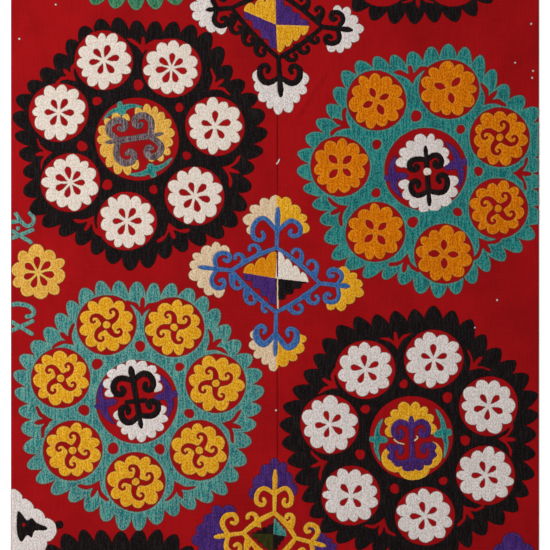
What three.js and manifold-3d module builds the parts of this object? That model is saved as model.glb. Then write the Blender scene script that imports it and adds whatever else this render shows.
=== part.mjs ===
// A suzani embroidered textile, lying flat and face up.
// Two loom widths of red cotton are joined by a seam, hemmed all round and covered with thick
// laid thread: great wheel flowers with round windows, hooked diamonds on the seam, and small
// blossoms at the edges. Millimetres, +Z up, the middle of the underside over the origin.

import * as THREE from 'three';
import { mergeVertices } from 'three/addons/utils/BufferGeometryUtils.js';
import Module from 'manifold-3d';

const wasm = await Module();
wasm.setup();

// Driving dimensions of the cloth
const CLOTH_WIDTH = 950;
const CLOTH_LENGTH = 1000;
const SEAM_X = 5;
const GROUND_THICKNESS = 1.2;
const HEM_THICKNESS = 0.6;
const HEM_WIDTH = 10;
const GAP = 0.3;

// Driving dimensions of the embroidery
const FIELD_THICKNESS = 0.7;
const SCROLL_THICKNESS = 1.0;
const EDGE_INSET = 1;
const WINDOW_RADIUS = 54;
const ROSETTE_RADIUS = 49.5;
const ROSETTE_DEPTH = 7;
const DOT_RADIUS = 10;
const DOT_REACH = 97;
const SPROUT_REACH = 157;
const SPROUT_LENGTH = 28;
const SPROUT_SPREAD = 20;
const RIM_WAVES = 7;

// How finely round things are drawn
const WINDOW_SIDES = 12;
const EYE_SIDES = 16;
const DOT_SIDES = 5;
const CURL_STEP = 68;
const CREST_STEP = 90;
const HALO_INNER_STEPS = 3;

// Heights
const GROUND_TOP = HEM_THICKNESS + GROUND_THICKNESS;
const STITCH_LOW = GROUND_TOP + GAP;
const FIELD_TOP = STITCH_LOW + FIELD_THICKNESS;
const SCROLL_TOP = STITCH_LOW + SCROLL_THICKNESS;
const CUT_MARGIN = 1;

// Thread and cloth colours
const RED = 0x9c0f14;
const BLACK = 0x1d1618;
const TEAL = 0x2a8078;
const GREEN = 0x3d7f61;
const CREAM = 0xded0bf;
const YELLOW = 0xd9a03a;
const ORANGE = 0xca760f;
const BLUE = 0x365f92;
const PURPLE = 0x46265c;
const GREY = 0x69605f;

// Wheel flowers. x and y place the ring of rosettes, shiftX and shiftY move the rim and its
// sprouts off it, rim is the mean reach of the petals and wave how far it swells by each window,
// the first of which lies at the turn named window.
const WHEELS = [
  {
    name: 'a', ink: BLACK, x: -251, y: 245, shiftX: 6, shiftY: -4,
    rim: 223, wave: 9, window: 112, petals: 41, turn: 3, lean: 0.5,
  },
  {
    name: 'b', ink: TEAL, x: 269, y: 190, shiftX: 3, shiftY: 0,
    rim: 222, wave: 10, window: 125, petals: 42, turn: 2, lean: -0.5,
  },
  {
    name: 'c', ink: TEAL, x: -248, y: -225, shiftX: 2, shiftY: -5,
    rim: 222, wave: 7, window: 112, petals: 42, turn: 5, lean: 0.5,
  },
  {
    name: 'd', ink: BLACK, x: 245, y: -292, shiftX: 0, shiftY: 4,
    rim: 230, wave: 7, window: 124, petals: 41, turn: 0, lean: -0.5,
  },
  {
    name: 'e', ink: GREEN, x: -252, y: 697, shiftX: 0, shiftY: 0,
    rim: 222, wave: 4, window: 296, petals: 36, turn: 0.5, lean: 0,
  },
  {
    name: 'f', ink: BLACK, x: 257, y: 670, shiftX: 0, shiftY: 0,
    rim: 221, wave: 5, window: 296, petals: 38, turn: 3, lean: 0.5,
  },
  {
    name: 'g', ink: BLACK, x: -279, y: -679, shiftX: 0, shiftY: 0,
    rim: 225, wave: 8, window: 116, petals: 42, turn: 4, lean: 0,
  },
];
const PETAL_DEPTH = 16;
const GREEN_PETAL_DEPTH = 17;
const PETAL_LEAN = 0.2;

// Rosettes. turn and reach place each one on its wheel's ring; lobes round it start at phase;
// cuts are the bare slits inside it, and swirl rosettes have hooked slits instead of straight ones.
const ROSETTES = {
  a: [
    { turn: 112, reach: 152, lobes: 12, phase: 95, cuts: 6, cutTurn: 10 },
    { turn: 63, reach: 143, lobes: 11, phase: 88, cuts: 7, cutTurn: 87 },
    { turn: 9, reach: 145, lobes: 11, phase: 100, cuts: 5, cutTurn: 90 },
    { turn: 316, reach: 148, lobes: 11, phase: 90, cuts: 6, cutTurn: 105 },
    { turn: 264, reach: 149, lobes: 12, phase: 98, cuts: 6, cutTurn: 0 },
    { turn: 214, reach: 141, lobes: 11, phase: 84, cuts: 7, cutTurn: 0 },
    { turn: 161, reach: 146, lobes: 11, phase: 80, cuts: 6, cutTurn: 60 },
  ],
  b: [
    { turn: 125, reach: 151, lobes: 11, phase: 92, cuts: 4, cutTurn: 25 },
    { turn: 73, reach: 151, lobes: 11, phase: 98, cuts: 3, cutTurn: 45 },
    { turn: 23, reach: 147, lobes: 11, phase: 90, cuts: 4, cutTurn: 60, swirl: -1 },
    { turn: 332, reach: 150, lobes: 12, phase: 78, cuts: 4, cutTurn: 50, swirl: -1 },
    { turn: 283, reach: 156, lobes: 11, phase: 82, cuts: 4, cutTurn: 88 },
    { turn: 232, reach: 143, lobes: 11, phase: 90, cuts: 4, cutTurn: 40 },
    { turn: 178, reach: 152, lobes: 11, phase: 85, cuts: 4, cutTurn: 45 },
  ],
  c: [
    { turn: 112, reach: 146, lobes: 11, phase: 92, cuts: 4, cutTurn: 50, swirl: -1 },
    { turn: 63, reach: 147, lobes: 11, phase: 85, cuts: 4, cutTurn: 50, swirl: -1 },
    { turn: 12, reach: 145, lobes: 10, phase: 70, cuts: 4, cutTurn: 20, swirl: -1 },
    { turn: 321, reach: 144, lobes: 10, phase: 95, cuts: 4, cutTurn: 15, swirl: -1 },
    { turn: 269, reach: 147, lobes: 10, phase: 100, cuts: 4, cutTurn: 10, swirl: 1 },
    { turn: 218, reach: 147, lobes: 11, phase: 85, cuts: 4, cutTurn: 15, swirl: 1 },
    { turn: 164, reach: 143, lobes: 11, phase: 90, cuts: 4, cutTurn: 40, swirl: 1 },
  ],
  d: [
    { turn: 124, reach: 147, lobes: 11, phase: 95, cuts: 5, cutTurn: 100 },
    { turn: 74, reach: 146, lobes: 11, phase: 100, cuts: 5, cutTurn: 90 },
    { turn: 22, reach: 150, lobes: 10, phase: 72, cuts: 5, cutTurn: 120 },
    { turn: 333, reach: 150, lobes: 11, phase: 82, cuts: 5, cutTurn: 110 },
    { turn: 280, reach: 144, lobes: 10, phase: 95, cuts: 5, cutTurn: 105 },
    { turn: 224, reach: 151, lobes: 11, phase: 80, cuts: 4, cutTurn: 40 },
    { turn: 171, reach: 149, lobes: 10, phase: 88, cuts: 5, cutTurn: 110 },
  ],
};
const ROSETTE_INK = { a: CREAM, b: ORANGE, c: YELLOW, d: CREAM };
const EDGE_ROSETTE = { x: -426, y: 4, lobes: 10, phase: 95, cuts: 7, cutTurn: 95 };
const SLIT_INNER = 8;
const SLIT_OUTER = 26;
const SLIT_WIDTH = 10;

// The eye of each wheel, a bare round with a small flower of its own
const EYES = {
  a: { x: 3, y: -1, radius: 76 },
  b: { x: 2, y: 0, radius: 75 },
  c: { x: 0, y: -3, radius: 75 },
  d: { x: 0, y: 0, radius: 76 },
};

// Fleurons: a stem from base that ends in a spike at tip, with two curls that spring from it at
// branch and turn back. lead is the straight start of a curl, size its height, sweep its turning.
// A halo is a scalloped field behind the curls; out puts its middle along the stem.
const FLOWERS = [
  {
    name: 'a', x: -253, y: 246, ink: GREY, width: 11,
    arms: [
      {
        turn: 9, branch: 35, tip: 54,
        left: { lead: 14, size: 33, sweep: 270 }, right: { lead: 14, size: 31, sweep: 250 },
        halo: { out: 20, forward: 54, left: 54, right: 48, span: 200, lobes: 7 },
      },
      {
        turn: 189, branch: 35, tip: 54,
        left: { lead: 11, size: 34, sweep: 260 }, right: { lead: 13, size: 31, sweep: 270 },
        halo: { out: 20, forward: 46, left: 58, right: 46, span: 205, lobes: 7 },
      },
    ],
    leaves: [
      { x: -276, y: 298, turn: 17, length: 68, side: 1 },
      { x: -222, y: 189, turn: 21, length: 84, side: -1 },
    ],
  },
  {
    name: 'b', x: 274, y: 182, ink: BLACK, width: 11,
    arms: [
      {
        turn: 94, branch: 36, tip: 54,
        left: { lead: 13, size: 28, sweep: 260 }, right: { lead: 16, size: 28, sweep: 260 },
        halo: { out: 16, forward: 57, left: 50, right: 44, span: 190, lobes: 7 },
      },
      {
        turn: 274, branch: 34, tip: 54,
        left: { lead: 16, size: 27, sweep: 260 }, right: { lead: 15, size: 27, sweep: 260 },
        halo: { out: 16, forward: 47, left: 50, right: 50, span: 190, lobes: 7 },
      },
    ],
    leaves: [
      { x: 329, y: 200, turn: 107, length: 84, side: -1 },
      { x: 213, y: 176, turn: 97, length: 74, side: 1 },
    ],
  },
  {
    name: 'c', x: -250, y: -219, ink: BLACK, width: 11,
    arms: [
      {
        turn: 100, branch: 38, tip: 56,
        left: { lead: 15, size: 31, sweep: 250 }, right: { lead: 16, size: 27, sweep: 250 },
        halo: { out: 14, forward: 48, left: 56, right: 48, span: 195, lobes: 7 },
      },
      {
        turn: 280, branch: 33, tip: 56,
        left: { lead: 15, size: 30, sweep: 260 }, right: { lead: 17, size: 27, sweep: 250 },
        halo: { out: 20, forward: 57, left: 50, right: 44, span: 185, lobes: 6 },
      },
    ],
    leaves: [
      { x: -192, y: -216, turn: 102, length: 78, side: -1 },
      { x: -309, y: -233, turn: 105, length: 76, side: 1 },
    ],
  },
  {
    name: 'd', x: 246, y: -301, ink: PURPLE, width: 11,
    arms: [
      {
        turn: 91, branch: 32, tip: 49,
        left: { lead: 12, size: 27, sweep: 260 }, right: { lead: 11, size: 27, sweep: 250 },
        halo: { out: 14, forward: 59, left: 50, right: 43, span: 190, lobes: 7 },
      },
      {
        turn: 272, branch: 32, tip: 54,
        left: { lead: 16, size: 30, sweep: 250 }, right: { lead: 16, size: 30, sweep: 250 },
        halo: { out: 10, forward: 54, left: 54, right: 53, span: 185, lobes: 5 },
      },
    ],
    leaves: [
      { x: 304, y: -284, turn: 100, length: 86, side: -1 },
      { x: 184, y: -296, turn: 86, length: 74, side: 1 },
    ],
  },
];
const LEAF_WIDTH = 10;
const LEAF_PRONG = 12;
const LEAF_BOW = 6;

// Hooked diamonds on the seam. Corners run counterclockwise from the right one. Crests are small
// curls on the diamond's sides, and the lozenge inside has four scalloped quarters.
const DIAMONDS = [
  {
    name: 'middle', ink: BLUE, width: 7,
    corners: [{ x: 81, y: -15 }, { x: 3, y: 49 }, { x: -78, y: 8 }, { x: 2, y: -67 }],
    arms: [
      {
        corner: 1, turn: 88, branch: 45, tip: 74,
        left: { lead: 12, size: 41, sweep: 280 }, right: { lead: 18, size: 32, sweep: 270 },
        halo: { out: 44, forward: 54, left: 60, right: 54, span: 205, lobes: 6 },
      },
      {
        corner: 2, turn: 174, branch: 31, tip: 62,
        left: { lead: 12, size: 30, sweep: 270 }, right: { lead: 9, size: 31, sweep: 280 },
        halo: { out: 30, forward: 46, left: 48, right: 45, span: 235, lobes: 7 },
      },
      {
        corner: 0, turn: 354, branch: 35, tip: 56,
        left: { lead: 6, size: 29, sweep: 220 }, right: { lead: 9, size: 27, sweep: 230 },
        halo: { out: 34, forward: 44, left: 29, right: 44, span: 205, lobes: 6 },
      },
      {
        corner: 3, turn: 269, branch: 56, tip: 81,
        left: { lead: 18, size: 32, sweep: 240 }, right: { lead: 13, size: 31, sweep: 250 },
        halo: { out: 54, forward: 49, left: 56, right: 46, span: 205, lobes: 6 },
      },
    ],
    crests: [
      { x: -27, y: 38, turn: 100, lead: 6, size: 20, sweep: 210 },
      { x: -58, y: 22, turn: 95, lead: 8, size: 19, sweep: 200 },
      { x: 45, y: 18, turn: 60, lead: 10, size: 20, sweep: 230 },
      { x: 67, y: -2, turn: 60, lead: 14, size: 20, sweep: 210 },
      { x: -76, y: 4, turn: 262, lead: 12, size: 20, sweep: 280 },
      { x: -48, y: -22, turn: 250, lead: 14, size: 21, sweep: 270 },
      { x: -18, y: -50, turn: 240, lead: 6, size: 12, sweep: 150 },
      { x: 24, y: -52, turn: 290, lead: 8, size: 23, sweep: 260 },
      { x: 56, y: -34, turn: 285, lead: 10, size: 21, sweep: 260 },
    ],
    lozenge: [{ x: 60, y: -13 }, { x: 4, y: 36 }, { x: -57, y: 4 }, { x: 3, y: -53 }],
  },
  {
    name: 'top', ink: BLACK, width: 7,
    corners: [{ x: 85, y: 446 }, { x: 2, y: 509 }, { x: -78, y: 480 }, { x: 6, y: 390 }],
    arms: [
      {
        corner: 2, turn: 184, branch: 30, tip: 48,
        left: { lead: 14, size: 25, sweep: 270 }, right: { lead: 12, size: 25, sweep: 250 },
        halo: { out: 28, forward: 47, left: 43, right: 47, span: 225, lobes: 6 },
      },
      {
        corner: 0, turn: 354, branch: 33, tip: 58,
        left: { lead: 11, size: 25, sweep: 210 }, right: { lead: 9, size: 27, sweep: 230 },
        halo: { out: 32, forward: 42, left: 41, right: 46, span: 225, lobes: 6 },
      },
      {
        corner: 3, turn: 274, branch: 40, tip: 73,
        left: { lead: 16, size: 28, sweep: 280 }, right: { lead: 15, size: 32, sweep: 270 },
        halo: { out: 38, forward: 62, left: 50, right: 52, span: 195, lobes: 6 },
      },
    ],
    crests: [
      { x: -77, y: 474, turn: 265, lead: 18, size: 24, sweep: 280 },
      { x: -53, y: 450, turn: 255, lead: 16, size: 22, sweep: 270 },
      { x: -26, y: 421, turn: 262, lead: 16, size: 17, sweep: 210 },
      { x: 17, y: 400, turn: 300, lead: 10, size: 18, sweep: 200 },
      { x: 40, y: 416, turn: 288, lead: 10, size: 20, sweep: 225 },
      { x: 63, y: 433, turn: 285, lead: 10, size: 20, sweep: 230 },
      { x: 70, y: 454, turn: 75, lead: 12, size: 20, sweep: 215 },
      { x: 48, y: 472, turn: 75, lead: 10, size: 21, sweep: 225 },
    ],
    lozenge: [{ x: 61, y: 448 }, { x: 1, y: 496 }, { x: -56, y: 475 }, { x: 4, y: 407 }],
  },
  {
    name: 'bottom', ink: YELLOW, width: 7,
    corners: [{ x: 37, y: -473 }, { x: -1, y: -428 }, { x: -57, y: -464 }, { x: -4, y: -512 }],
    arms: [
      {
        corner: 1, turn: 89, branch: 44, tip: 81,
        left: { lead: 12, size: 30, sweep: 285 }, right: { lead: 14, size: 29, sweep: 285 },
        halo: { out: 42, forward: 54, left: 45, right: 41, span: 200, lobes: 6 },
      },
      {
        corner: 2, turn: 188, branch: 31, tip: 54,
        left: { lead: 15, size: 27, sweep: 230 }, right: { lead: 16, size: 27, sweep: 235 },
        halo: { out: 30, forward: 64, left: 58, right: 56, span: 215, lobes: 7 },
      },
      {
        corner: 0, turn: 345, branch: 35, tip: 60,
        left: { lead: 13, size: 24, sweep: 225 }, right: { lead: 13, size: 24, sweep: 225 },
        halo: { out: 34, forward: 45, left: 21, right: 40, span: 180, lobes: 7 },
      },
    ],
    crests: [
      { x: -32, y: -448, turn: 85, lead: 10, size: 24, sweep: 230 },
      { x: 19, y: -451, turn: 60, lead: 10, size: 22, sweep: 270 },
      { x: -46, y: -474, turn: 245, lead: 14, size: 22, sweep: 240 },
    ],
    lozenge: [{ x: 20, y: -470 }, { x: -2, y: -445 }, { x: -41, y: -465 }, { x: -3, y: -499 }],
  },
];
const HALO_INNER = 0.6;
const HALO_DEPTH = 6;
const LOZENGE_LOBES = 3;
const LOZENGE_DEPTH = 5;

// Strokes of the two small teal signs by the left edge
const SIGNS = {
  upper: [
    {
      width: 7,
      path: [
        { x: -464, y: 113 }, { x: -460, y: 99 }, { x: -448, y: 87 }, { x: -439, y: 92 },
        { x: -440, y: 103 }, { x: -447, y: 108 },
      ],
    },
    { width: 6, path: [{ x: -474, y: 94 }, { x: -456, y: 96 }] },
    { width: 6, path: [{ x: -457, y: 97 }, { x: -459, y: 70 }] },
    { width: 6, path: [{ x: -474, y: 78 }, { x: -439, y: 59 }] },
    { width: 6, path: [{ x: -474, y: 66 }, { x: -435, y: 80 }] },
  ],
  lower: [
    {
      width: 7,
      path: [
        { x: -474, y: -53 }, { x: -453, y: -54 }, { x: -439, y: -60 }, { x: -435, y: -71 },
        { x: -437, y: -84 },
      ],
    },
    { width: 7, path: [{ x: -434, y: -76 }, { x: -446, y: -77 }] },
    { width: 6, path: [{ x: -474, y: -87 }, { x: -437, y: -106 }] },
    { width: 6, path: [{ x: -474, y: -102 }, { x: -436, y: -84 }] },
  ],
};

// The half blossom in the lower left corner and the patch in the lower right one
const BLOOM = {
  field: [{ x: -475, y: -386 }, { x: -394, y: -456 }, { x: -428, y: -502 }],
  lobes: [4, 2],
  figure: [
    { x: -462, y: -424 }, { x: -446, y: -441 }, { x: -411, y: -455 }, { x: -432, y: -460 },
    { x: -456, y: -480 }, { x: -464, y: -462 },
  ],
};
const PATCH = { corners: [{ x: 467, y: -502 }, { x: 426, y: -464 }, { x: 393, y: -502 }], lobes: 2 };

// A point at a turn in degrees and a reach from a centre
function polar(centre, turn, reach) {
  const angle = THREE.MathUtils.degToRad(turn);
  return new THREE.Vector2(centre.x + reach * Math.cos(angle), centre.y + reach * Math.sin(angle));
}

function ring(centre, radius, sides) {
  return Array.from({ length: sides }, (_, i) => polar(centre, (i * 360) / sides, radius));
}

// A closed mesh as a solid that can be joined and cut
function toSolid(geometry) {
  geometry.deleteAttribute('normal');
  geometry.deleteAttribute('uv');
  const merged = mergeVertices(geometry);
  return new wasm.Manifold(new wasm.Mesh({
    numProp: 3,
    vertProperties: new Float32Array(merged.attributes.position.array),
    triVerts: new Uint32Array(merged.index.array),
  }));
}

// A flat plate of an outline, from one height to another
function plate(outline, low, high) {
  const shape = new THREE.Shape(outline);
  const geometry = new THREE.ExtrudeGeometry(shape, { depth: high - low, bevelEnabled: false });
  geometry.translate(0, 0, low);
  return toSolid(geometry);
}

function join(solids) {
  return solids.reduce((whole, next) => whole.add(next));
}

function cutAway(solid, outlines) {
  const low = STITCH_LOW - CUT_MARGIN;
  const high = SCROLL_TOP + CUT_MARGIN;
  return outlines.reduce((rest, outline) => rest.subtract(plate(outline, low, high)), solid);
}

// Stitching never runs past the cloth's edge
function trim(solid) {
  const x = CLOTH_WIDTH / 2 - EDGE_INSET;
  const y = CLOTH_LENGTH / 2 - EDGE_INSET;
  const cloth = [
    new THREE.Vector2(-x, -y),
    new THREE.Vector2(x, -y),
    new THREE.Vector2(x, y),
    new THREE.Vector2(-x, y),
  ];
  return solid.intersect(plate(cloth, 0, SCROLL_TOP + CUT_MARGIN));
}

function toMesh(name, solid, colour, roughness) {
  const { vertProperties, triVerts } = solid.getMesh();
  const geometry = new THREE.BufferGeometry();
  geometry.setAttribute('position', new THREE.BufferAttribute(new Float32Array(vertProperties), 3));
  geometry.setIndex(new THREE.BufferAttribute(new Uint32Array(triVerts), 1));
  geometry.computeVertexNormals();
  const material = new THREE.MeshStandardMaterial({ color: colour, roughness, metalness: 0 });
  const mesh = new THREE.Mesh(geometry, material);
  mesh.name = name;
  return mesh;
}

const CLOTH_ROUGHNESS = 0.9;
const THREAD_ROUGHNESS = 0.7;

// A motif as far as the cloth reaches. Where the edge cuts it apart, its main body stays.
function stitched(name, solid, colour) {
  const pieces = trim(solid).decompose();
  const main = pieces.reduce((largest, piece) => (piece.volume() > largest.volume() ? piece : largest));
  return toMesh(name, main, colour, THREAD_ROUGHNESS);
}

// One loom width: a thin sheet with its hem and its seam allowance turned under
function groundPanel(name, left, right) {
  const low = -CLOTH_LENGTH / 2;
  const high = CLOTH_LENGTH / 2;
  const rectangle = (inset) => [
    new THREE.Vector2(left + inset, low + inset),
    new THREE.Vector2(right - inset, low + inset),
    new THREE.Vector2(right - inset, high - inset),
    new THREE.Vector2(left + inset, high - inset),
  ];
  const slab = plate(rectangle(0), 0, GROUND_TOP);
  const hollow = plate(rectangle(HEM_WIDTH), -CUT_MARGIN, HEM_THICKNESS);
  return toMesh(name, slab.subtract(hollow), RED, CLOTH_ROUGHNESS);
}

// Round tongues set side by side along a closed line: a valley and then one or two tips each
const SHOULDER = 0.25;
const PETAL_TIPS = [-SHOULDER, SHOULDER];
const LOBE_TIPS = [0];

function tongues(count, turn, tips, place) {
  const pitch = 360 / count;
  const outline = [];
  for (let i = 0; i < count; i += 1) {
    const middle = turn + i * pitch;
    outline.push(place(middle - pitch / 2, true));
    outline.push(...tips.map((tip) => place(middle + tip * pitch, false)));
  }
  return outline;
}

function rimOutline(wheel) {
  const centre = { x: wheel.x + wheel.shiftX, y: wheel.y + wheel.shiftY };
  const depth = wheel.ink === GREEN ? GREEN_PETAL_DEPTH : PETAL_DEPTH;
  const place = (turn, valley) => {
    const phase = THREE.MathUtils.degToRad(RIM_WAVES * (turn - wheel.window));
    const reach = wheel.rim + wheel.wave * Math.cos(phase);
    return polar(centre, turn, valley ? reach - depth : reach);
  };
  const tips = PETAL_TIPS.map((tip) => tip + wheel.lean * PETAL_LEAN);
  return tongues(wheel.petals, wheel.turn, tips, place);
}

// A three-pronged sprout: a pointed foot, two arms that open outwards and a bud between them
const SPROUT_SHAPE = [
  { out: 0, side: 0 },
  { out: 0.9, side: 1 },
  { out: 0.55, side: 0.25 },
  { out: 1, side: 0 },
  { out: 0.55, side: -0.25 },
  { out: 0.9, side: -1 },
];

function sproutOutline(centre, turn) {
  return SPROUT_SHAPE.map(({ out, side }) => {
    const spine = polar(centre, turn, SPROUT_REACH + out * SPROUT_LENGTH);
    return polar(spine, turn + 90, side * SPROUT_SPREAD);
  });
}

// The turns halfway between one window and the next
function betweenWindows(places) {
  return places.map(({ turn }, i) => {
    const next = places[(i + 1) % places.length].turn;
    const step = (turn - next + 360) % 360;
    return turn - step / 2;
  });
}

// The two windows of a wheel that the cloth's upper edge cuts off
const DOWNWARD = 270;
const HALF_WHEEL_REACH = 148;
const HALF_WHEEL_WINDOWS = [
  { turn: DOWNWARD + 180 / RIM_WAVES, reach: HALF_WHEEL_REACH },
  { turn: DOWNWARD - 180 / RIM_WAVES, reach: HALF_WHEEL_REACH },
];

function web(wheel) {
  const places = ROSETTES[wheel.name] ?? (wheel.name === 'f' ? HALF_WHEEL_WINDOWS : []);
  const eye = EYES[wheel.name];
  const rimCentre = { x: wheel.x + wheel.shiftX, y: wheel.y + wheel.shiftY };
  const holes = places.map(({ turn, reach }) => ring(polar(wheel, turn, reach), WINDOW_RADIUS, WINDOW_SIDES));
  for (const turn of betweenWindows(places)) {
    holes.push(ring(polar(wheel, turn, DOT_REACH), DOT_RADIUS, DOT_SIDES));
    holes.push(sproutOutline(rimCentre, turn));
  }
  if (eye) {
    holes.push(ring({ x: wheel.x + eye.x, y: wheel.y + eye.y }, eye.radius, EYE_SIDES));
  }
  return cutAway(plate(rimOutline(wheel), STITCH_LOW, FIELD_TOP), holes);
}

// A bare slit shaped as a drop, narrow by the rosette's heart and wide outside
function slitOutline(centre, turn) {
  const end = polar(centre, turn, SLIT_OUTER);
  return [
    polar(centre, turn, SLIT_INNER),
    polar(end, turn - 90, SLIT_WIDTH / 2),
    polar(end, turn + 90, SLIT_WIDTH / 2),
  ];
}

// A bare hook that leaves the heart and curls over to one side
const HOOK_SHAPE = [
  { turn: -22, reach: 8 },
  { turn: -6, reach: 17 },
  { turn: -34, reach: 24 },
  { turn: 2, reach: 28 },
  { turn: 14, reach: 20 },
  { turn: 24, reach: 8 },
];

function hookOutline(centre, turn, swirl) {
  return HOOK_SHAPE.map((point) => polar(centre, turn + swirl * point.turn, point.reach));
}

function rosette(centre, { lobes, phase, cuts, cutTurn, swirl }) {
  const place = (turn, valley) => polar(centre, turn, ROSETTE_RADIUS - (valley ? ROSETTE_DEPTH : 0));
  const outline = tongues(lobes, phase, LOBE_TIPS, place);
  const slits = Array.from({ length: cuts }, (_, i) => {
    const turn = cutTurn + (i * 360) / cuts;
    return swirl ? hookOutline(centre, turn, swirl) : slitOutline(centre, turn);
  });
  return cutAway(plate(outline, STITCH_LOW, FIELD_TOP), slits);
}

// A band along a path, from one width to another
function ribbon(path, startWidth, endWidth) {
  const left = [];
  const right = [];
  path.forEach((point, i) => {
    const before = path[Math.max(i - 1, 0)];
    const after = path[Math.min(i + 1, path.length - 1)];
    const heading = THREE.MathUtils.radToDeg(Math.atan2(after.y - before.y, after.x - before.x));
    const half = THREE.MathUtils.lerp(startWidth, endWidth, i / (path.length - 1)) / 2;
    left.push(polar(point, heading + 90, half));
    right.push(polar(point, heading - 90, half));
  });
  return [...right, ...left.reverse()];
}

// A curl: straight for its lead, then turning ever tighter to one side
const CURL_START = 0.88;
const CURL_END = 0.14;

function curlPath(start, heading, { lead, size, sweep }, side, largestStep = CURL_STEP) {
  const steps = Math.ceil(sweep / largestStep);
  const bend = sweep / steps;
  const path = [new THREE.Vector2(start.x, start.y), polar(start, heading, lead)];
  let direction = heading;
  for (let i = 0; i < steps; i += 1) {
    const radius = size * CURL_START * (CURL_END / CURL_START) ** ((i + 0.5) / steps);
    const chord = 2 * radius * Math.sin(THREE.MathUtils.degToRad(bend / 2));
    direction += (side * bend) / 2;
    path.push(polar(path[path.length - 1], direction, chord));
    direction += (side * bend) / 2;
  }
  return path;
}

const BAND_OVERLAP = 0.33;
const SPIKE_SWELL = 1.25;
const SPIKE_POINT = 0.45;
const CURL_TAPER = 0.7;
const CREST_SWELL = 1.6;
const CREST_TAPER = 0.6;

function fleuron(base, arm, width) {
  const start = polar(base, arm.turn, -width * BAND_OVERLAP);
  const branch = polar(base, arm.turn, arm.branch);
  const tip = polar(base, arm.turn, arm.tip);
  const bands = [
    ribbon([start, branch], width, width),
    ribbon([branch, tip], width * SPIKE_SWELL, width * SPIKE_POINT),
    ribbon(curlPath(branch, arm.turn + 90, arm.left, 1), width, width * CURL_TAPER),
    ribbon(curlPath(branch, arm.turn - 90, arm.right, -1), width, width * CURL_TAPER),
  ];
  return join(bands.map((band) => plate(band, STITCH_LOW, SCROLL_TOP)));
}

// The scalloped field behind a fleuron's curls: an arch of lobes, open towards the stem's foot,
// whose inner edge is hidden under the curls
function haloOutline(base, { turn, branch, halo }) {
  const centre = polar(base, turn, halo.out);
  const arch = (away, forwardScale, sideScale) => {
    const angle = THREE.MathUtils.degToRad(away);
    const sideways = away > 0 ? halo.left : halo.right;
    const along = halo.forward * forwardScale * Math.cos(angle);
    const across = sideways * sideScale * Math.sin(angle);
    return polar(polar(centre, turn, along), turn + 90, across);
  };
  const innerForward = Math.max(branch - halo.out, 0) / halo.forward;
  const pitch = halo.span / halo.lobes;
  const first = -halo.span / 2;
  const shrink = 1 - HALO_DEPTH / halo.forward;
  const outline = [];
  for (let i = 0; i < halo.lobes; i += 1) {
    outline.push(arch(first + i * pitch, shrink, shrink));
    outline.push(arch(first + (i + 0.5) * pitch, 1, 1));
  }
  outline.push(arch(-first, shrink, shrink));
  for (let i = 0; i <= HALO_INNER_STEPS; i += 1) {
    outline.push(arch(-first - (halo.span * i) / HALO_INNER_STEPS, innerForward, HALO_INNER));
  }
  return outline;
}

function fleuronWithHalo(base, arm, width) {
  const field = plate(haloOutline(base, arm), STITCH_LOW, FIELD_TOP);
  return fleuron(base, arm, width).add(field);
}

function leafOutline({ x, y, turn, length, side }) {
  const half = LEAF_WIDTH / 2;
  const shape = [
    { along: -length / 2, across: -LEAF_BOW },
    { along: -length / 4, across: -half },
    { along: -half, across: -half },
    { along: 0, across: -LEAF_PRONG },
    { along: half, across: -half },
    { along: length / 4, across: -half },
    { along: length / 2, across: -LEAF_BOW },
    { along: half, across: half },
    { along: 0, across: LEAF_PRONG },
    { along: -half, across: half },
  ];
  return shape.map(({ along, across }) => polar(polar({ x, y }, turn, along), turn + 90, across * side));
}

// Lobes along one side of a figure, swelling away from it
function lobedSide(from, to, lobes, depth) {
  const heading = THREE.MathUtils.radToDeg(Math.atan2(to.y - from.y, to.x - from.x));
  const length = Math.hypot(to.x - from.x, to.y - from.y);
  const points = [new THREE.Vector2(from.x, from.y)];
  for (let i = 0; i < lobes; i += 1) {
    const near = polar(from, heading, (length * (i + SHOULDER)) / lobes);
    const far = polar(from, heading, (length * (i + 1 - SHOULDER)) / lobes);
    points.push(polar(near, heading - 90, depth), polar(far, heading - 90, depth));
    if (i < lobes - 1) {
      points.push(polar(from, heading, (length * (i + 1)) / lobes));
    }
  }
  return points;
}

// A diamond's four sides, its crests and its fleurons, one joined band of stitching
function diamond({ corners, arms, crests, width }) {
  const sides = corners.map((corner, i) => {
    const next = corners[(i + 1) % corners.length];
    const heading = THREE.MathUtils.radToDeg(Math.atan2(next.y - corner.y, next.x - corner.x));
    const overlap = width * BAND_OVERLAP;
    return ribbon([polar(corner, heading, -overlap), polar(next, heading, overlap)], width, width);
  });
  const curls = crests.map((crest) => {
    const path = curlPath(crest, crest.turn, crest, 1, CREST_STEP);
    return ribbon(path, width * CREST_SWELL, width * CREST_TAPER);
  });
  const bands = [...sides, ...curls].map((band) => plate(band, STITCH_LOW, SCROLL_TOP));
  return join([...bands, ...arms.map((arm) => fleuronWithHalo(corners[arm.corner], arm, width))]);
}

// The lozenge in a diamond: four fields with scalloped outer sides, meeting in the middle
function lozenge(tips) {
  const outline = tips.flatMap((tip, i) => {
    const next = tips[(i + 1) % tips.length];
    return lobedSide(tip, next, LOZENGE_LOBES, LOZENGE_DEPTH);
  });
  return plate(outline, STITCH_LOW, FIELD_TOP);
}

function sign(strokes) {
  const bands = strokes.map(({ width, path }) => ribbon(path, width, width));
  return join(bands.map((band) => plate(band, STITCH_LOW, FIELD_TOP)));
}

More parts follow.
